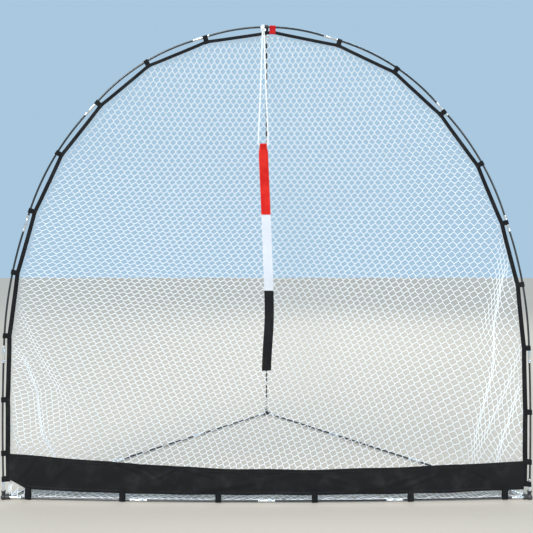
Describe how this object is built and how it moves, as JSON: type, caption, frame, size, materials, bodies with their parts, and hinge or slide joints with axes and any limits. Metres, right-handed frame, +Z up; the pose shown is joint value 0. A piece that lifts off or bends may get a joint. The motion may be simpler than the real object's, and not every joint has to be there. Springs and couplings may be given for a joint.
{
  "type": "practice net with hanging target",
  "caption": "Free-standing arched practice net: springy rods hold a mesh bag and a black skirt, and a striped ribbon target hangs on a rope in its mouth.",
  "frame": {"origin": "middle of the footprint's box, on the ground", "axes": "+X to the thrower's right, +Y away from the thrower towards the rear hub, +Z up"},
  "size_m": [2.1515, 1.272, 1.9217],
  "materials": {
    "rod_black": "glossy pultruded fibreglass",
    "ferrule_metal": "drawn tube, satin",
    "connector_black": "moulded, fine grain",
    "net_white": "knotless twisted twine mesh",
    "webbing_black": "woven polypropylene webbing",
    "skirt_black": "plain woven polyester",
    "tab_red": "woven webbing",
    "rope_white": "braided polyester rope",
    "ribbon_red": "woven nylon tape",
    "ribbon_white": "woven nylon tape",
    "ribbon_black": "woven nylon tape"
  },
  "bodies": {
    "frame": {"arch_rod_left_1": "rod_black", "arch_rod_left_2": "rod_black", "arch_rod_left_3": "rod_black", "arch_rod_left_4": "rod_black", "arch_rod_crown": "rod_black", "arch_rod_right_4": "rod_black", "arch_rod_right_3": "rod_black", "arch_rod_right_2": "rod_black", "arch_rod_right_1": "rod_black", "rail_rod_1": "rod_black", "rail_rod_2": "rod_black", "rail_rod_3": "rod_black", "rail_rod_4": "rod_black", "pole_rod_1": "rod_black", "pole_rod_2": "rod_black", "pole_rod_3": "rod_black", "pole_rod_4": "rod_black", "leg_rod_left_1": "rod_black", "leg_rod_left_2": "rod_black", "leg_rod_left_3": "rod_black", "leg_rod_right_1": "rod_black", "leg_rod_right_2": "rod_black", "leg_rod_right_3": "rod_black", "arch_ferrules": "ferrule_metal", "rail_ferrules": "ferrule_metal", "leg_ferrules": "ferrule_metal", "pole_ferrules": "ferrule_metal", "corner_connector_left": "connector_black", "corner_connector_right": "connector_black", "rear_hub": "connector_black", "corner_sleeves_left": "ferrule_metal", "corner_sleeves_right": "ferrule_metal", "hub_sleeves": "ferrule_metal", "crown_sleeve": "ferrule_metal", "crown_tee": "connector_black", "net_webbing_left": "webbing_black", "net_webbing_right": "webbing_black", "arch_tabs_left": "webbing_black", "arch_tabs_right": "webbing_black", "crown_tab": "tab_red", "rail_straps": "webbing_black", "skirt": "skirt_black", "net_standing": "net_white", "net_on_ground": "net_white", "rope_hitch": "rope_white"},
    "target_knot": {"rope_knot": "rope_white"},
    "target_loop": {"target_rope": "rope_white"},
    "ribbon_top": {"ribbon_red": "ribbon_red"},
    "ribbon_middle": {"ribbon_white": "ribbon_white"},
    "ribbon_bottom": {"ribbon_black": "ribbon_black"}
  },
  "joints": [
    {"name": "target_sway", "type": "hinge", "parent": "frame", "child": "target_knot", "pos_m": [-0.013, -0.60767, 1.89506], "axis": [0, 1, 0], "range_deg": [-20, 20]},
    {"name": "target_swing", "type": "hinge", "parent": "target_knot", "child": "target_loop", "pos_m": [-0.013, -0.60767, 1.89506], "axis": [1, 0, 0], "range_deg": [-50, 4]},
    {"name": "hem_fold", "type": "hinge", "parent": "target_loop", "child": "ribbon_top", "pos_m": [-0.013, -0.60767, 1.43106], "axis": [1, 0, 0], "range_deg": [-40, 3]},
    {"name": "upper_seam_fold", "type": "hinge", "parent": "ribbon_top", "child": "ribbon_middle", "pos_m": [-0.013, -0.60767, 1.15146], "axis": [1, 0, 0], "range_deg": [-40, 3]},
    {"name": "lower_seam_fold", "type": "hinge", "parent": "ribbon_middle", "child": "ribbon_bottom", "pos_m": [-0.013, -0.60767, 0.84546], "axis": [1, 0, 0], "range_deg": [-40, 3]}
  ]
}
